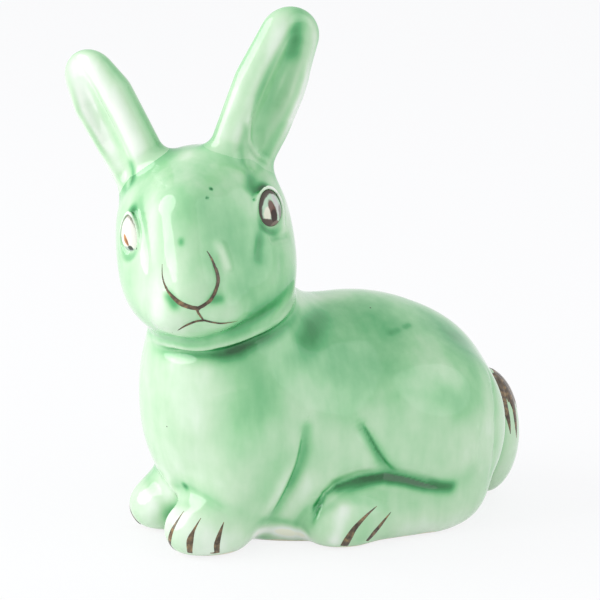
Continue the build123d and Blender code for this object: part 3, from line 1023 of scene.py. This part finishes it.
# Brushwork: each stroke is a round curve pressed flat onto the glaze. Given are the piece under it, how far
# its mirror image is moved, or None without one, and strokes as pixels and half widths in millimetres
strokes = {
    "nose_line": ("head", None, [
        ([(162, 264), (162, 277), (166, 290), (177, 302), (188, 307), (197, 309)],
         [0.1, 0.2, 0.3, 0.6, 0.65, 0.55]),
        ([(207, 251), (213, 260), (218, 272), (219, 283), (213, 298), (205, 305), (197, 309)],
         [0.1, 0.3, 0.42, 0.45, 0.42, 0.45, 0.5]),
        ([(193, 307), (197, 309), (200, 308)], [0.3, 0.75, 0.3]),
        ([(197, 310), (199, 315), (203, 321)], [0.35, 0.3, 0.25]),
    ]),
    "mouth_line": ("head", None, [
        ([(172, 333), (184, 327), (196, 322), (204, 321)], [0.08, 0.24, 0.26, 0.26]),
        ([(204, 321), (221, 324), (230, 323), (238, 321)], [0.26, 0.25, 0.2, 0.08]),
    ]),
    "left_foreleg_claws": ("left_foreleg", (-2.2, 0.5, -2.0), [
        ([(184, 511), (176, 523), (170, 537), (171, 546), (175, 553)], [0.08, 0.4, 0.75, 0.65, 0.25]),
        ([(201, 518), (194, 530), (190, 541), (190, 553)], [0.08, 0.38, 0.95, 0.75]),
        ([(224, 522), (220, 533), (217, 544), (217, 553)], [0.08, 0.55, 0.85, 0.75]),
        ([(210, 553), (214, 553), (217, 551)], [0.12, 0.35, 0.4]),
    ]),
    "left_hind_foot_claws": ("left_hind_foot", (0, 0, 0), [
        ([(377, 506), (366, 516), (355, 528), (348, 539), (344, 546)], [0.08, 0.42, 0.75, 1.1, 1.15]),
        ([(391, 512), (383, 522), (374, 533), (367, 541)], [0.08, 0.45, 0.8, 0.65]),
    ]),
    "tail_brushwork": ("tail", (0, 0, 0), [
        ([(490, 369), (496, 378), (501, 390), (505, 406), (509, 422), (510.5, 434)],
         [0.4, 1.1, 1.6, 1.2, 0.7, 0.1]),
        ([(493, 370), (500, 379), (507, 391), (510, 402)], [0.5, 1.6, 1.8, 1.0]),
        ([(497, 371), (505, 380), (511, 392), (514, 408), (516, 425), (516.5, 438)],
         [0.5, 1.6, 1.6, 1.2, 0.8, 0.1]),
    ]),
}
# The rest of the tail's patch: strokes that fan out from its top, in degrees round it and down it
tailFingers = {
    "turns": (-52, -35, -18, 0, 18, 35, 52),
    "reach": (80, 62, 84, 66, 84, 62, 80),
    "from": 20,
    "width": 2.1,
    "taper": (0.7, 0.9, 1.0, 0.85, 0.5, 0.05),
}


def tailFinger(turn, reach):
    centre, radii = tail["form"]
    tilts = np.radians(np.linspace(tailFingers["from"], reach, len(tailFingers["taper"])))
    turn = math.radians(turn)
    unit = np.stack([np.sin(tilts) * math.sin(turn), np.sin(tilts) * math.cos(turn), np.cos(tilts)], 1)
    return unit * radii + centre, tailFingers["width"] * np.array(tailFingers["taper"])


brush = {"spacing": 0.35, "press": 0.16, "sides": 14}


def pressedBrushTree():
    tree = bpy.data.node_groups.new("pressedBrush", "GeometryNodeTree")
    tree.interface.new_socket("Geometry", in_out="INPUT", socket_type="NodeSocketGeometry")
    under = tree.interface.new_socket("Clay", in_out="INPUT", socket_type="NodeSocketObject")
    tree.interface.new_socket("Geometry", in_out="OUTPUT", socket_type="NodeSocketGeometry")
    given = addNode(tree, "NodeGroupInput").outputs
    smooth = addNode(tree, "GeometryNodeCurveSplineType", {"spline_type": "CATMULL_ROM"},
                     Curve=given["Geometry"])
    evened = addNode(tree, "GeometryNodeResampleCurve", {"mode": "LENGTH"}, Curve=smooth.outputs[0],
                     Length=brush["spacing"] * mm)
    ring = addNode(tree, "GeometryNodeCurvePrimitiveCircle", Resolution=brush["sides"], Radius=1.0)
    width = addNode(tree, "GeometryNodeInputRadius")
    tube = addNode(tree, "GeometryNodeCurveToMesh", Curve=evened.outputs[0], Profile_Curve=ring.outputs[0],
                   Scale=width.outputs[0], Fill_Caps=True)
    target = addNode(tree, "GeometryNodeObjectInfo", {"transform_space": "ORIGINAL"}, Object=given["Clay"])
    here = addNode(tree, "GeometryNodeInputPosition").outputs[0]
    upright = addNode(tree, "GeometryNodeInputNormal").outputs[0]
    spot = addNode(tree, "GeometryNodeSampleNearestSurface", {"data_type": "FLOAT_VECTOR"},
                   Mesh=target.outputs["Geometry"], Value=here)
    out = addNode(tree, "GeometryNodeSampleNearestSurface", {"data_type": "FLOAT_VECTOR"},
                  Mesh=target.outputs["Geometry"], Value=upright)
    lift = vectors(tree, "DOT_PRODUCT", vectors(tree, "SUBTRACT", here, spot.outputs[0]), out.outputs[0])
    raised = addNode(tree, "ShaderNodeVectorMath", {"operation": "SCALE"}, i0=out.outputs[0],
                     Scale=maths(tree, "MULTIPLY", lift, brush["press"]))
    place = vectors(tree, "ADD", spot.outputs[0], raised.outputs[0])
    pressed = addNode(tree, "GeometryNodeSetPosition", Geometry=tube.outputs[0], Position=place)
    soft = addNode(tree, "GeometryNodeSetShadeSmooth", Geometry=pressed.outputs[0])
    real = addNode(tree, "GeometryNodeRealizeInstances", Geometry=soft.outputs[0])
    coated = addNode(tree, "GeometryNodeSetMaterial", Geometry=real.outputs[0], Material=brown)
    addNode(tree, "NodeGroupOutput", Geometry=coated.outputs[0])
    return tree, under.identifier


brushTree, clayInput = pressedBrushTree()


def paintStrokes(name, target, paths):
    curve = bpy.data.curves.new(name, "CURVE")
    curve.dimensions = "3D"
    for points, widths in paths:
        spline = curve.splines.new("POLY")
        spline.points.add(len(points) - 1)
        for slotPoint, place, width in zip(spline.points, points, widths):
            slotPoint.co = (*(np.array(place, float) * mm), 1.0)
            slotPoint.radius = width * mm
    guide = newObject(name + "Guide", curve)
    modifier = guide.modifiers.new("pressedBrush", "NODES")
    modifier.node_group = brushTree
    modifier[clayInput] = glazed[target]
    bpy.context.view_layer.update()
    mesh = bpy.data.meshes.new_from_object(guide.evaluated_get(bpy.context.evaluated_depsgraph_get()))
    mesh.name = name
    bpy.data.objects.remove(guide)
    return keepPiece(name, mesh, "eye_enamel")


for name, (target, shift, rows) in strokes.items():
    paths = [(onClay(pixels), widths) for pixels, widths in rows]
    mirrored = []
    if shift:
        mirrored = [(points * mirror + np.array(shift), widths) for points, widths in paths]
    if "left" in target:
        paintStrokes(name, target, paths)
        paintStrokes(name.replace("left", "right"), target.replace("left", "right"), mirrored)
    elif target == "tail":
        fingers = [tailFinger(turn, reach) for turn, reach in zip(tailFingers["turns"], tailFingers["reach"])]
        paintStrokes(name, target, paths + mirrored + fingers)
    else:
        paintStrokes(name, target, paths)
print("brushwork painted")

# Studio: white world and floor, a soft key lamp from the left and a wider, weaker one from the right
studio = {
    "world": 0.74,
    "worldColour": "#fafbfd",
    "key": {"at": (-0.25, -1.0, 0.6), "size": 1.1, "watts": 10.2},
    "fill": {"at": (1.2, 0.8, 0.9), "size": 1.8, "watts": 6.0},
    "lampsAimAt": (0, -0.01, 0.07),
    "floorHalf": 4,
    "floorColour": "#f6f7f8",
    "floorRoughness": 0.6,
    "floorGlow": "#fdfdfe",
    "floorShow": 0.85,
    "floorBelow": 0.1,
}


def softLamp(name, settings):
    data = bpy.data.lights.new(name, "AREA")
    data.shape = "DISK"
    data.size = settings["size"]
    data.energy = settings["watts"]
    lamp = newObject(name, data)
    lamp.location = settings["at"]
    lamp.rotation_mode = "QUATERNION"
    lamp.rotation_quaternion = (Vector(studio["lampsAimAt"]) - lamp.location).to_track_quat("-Z", "Y")


# 1 where the camera sees a thing, directly or in the glaze, and 0 where the thing lights the object
def seenNotLit(tree):
    path = addNode(tree, "ShaderNodeLightPath").outputs
    return maths(tree, "MAXIMUM", path["Is Camera Ray"], path["Is Glossy Ray"])


def whiteTent():
    world = bpy.data.worlds.new("whiteTent")
    bpy.context.scene.world = world
    world.use_nodes = True
    tree = world.node_tree
    strength = addNode(tree, "ShaderNodeMapRange", Value=seenNotLit(tree), To_Min=studio["world"], To_Max=1.0)
    feed(tree, tree.nodes["Background"], Color=linear(studio["worldColour"]), Strength=strength.outputs[0])


def paleFloor():
    low, half = -studio["floorBelow"] * mm, studio["floorHalf"]
    corners = [(-half, -half, low), (half, -half, low), (half, half, low), (-half, half, low)]
    mesh = bpy.data.meshes.new("floor")
    mesh.from_pydata(corners, [], [(0, 1, 2, 3)])
    material, tree, shader = newMaterial("paleFloor")
    feed(tree, shader, Base_Color=linear(studio["floorColour"]), Roughness=studio["floorRoughness"])
    seen = maths(tree, "MULTIPLY", seenNotLit(tree), studio["floorShow"])
    glow = addNode(tree, "ShaderNodeEmission", Color=linear(studio["floorGlow"]))
    mixed = addNode(tree, "ShaderNodeMixShader", i0=seen, i1=shader.outputs[0], i2=glow.outputs[0])
    feed(tree, tree.nodes["Material Output"], Surface=mixed.outputs[0])
    mesh.materials.append(material)
    floor = newObject("floor", mesh)


whiteTent()
softLamp("keyLamp", studio["key"])
softLamp("fillLamp", studio["fill"])
paleFloor()
bpy.context.scene.view_settings.view_transform = "Standard"
print("studio lit")
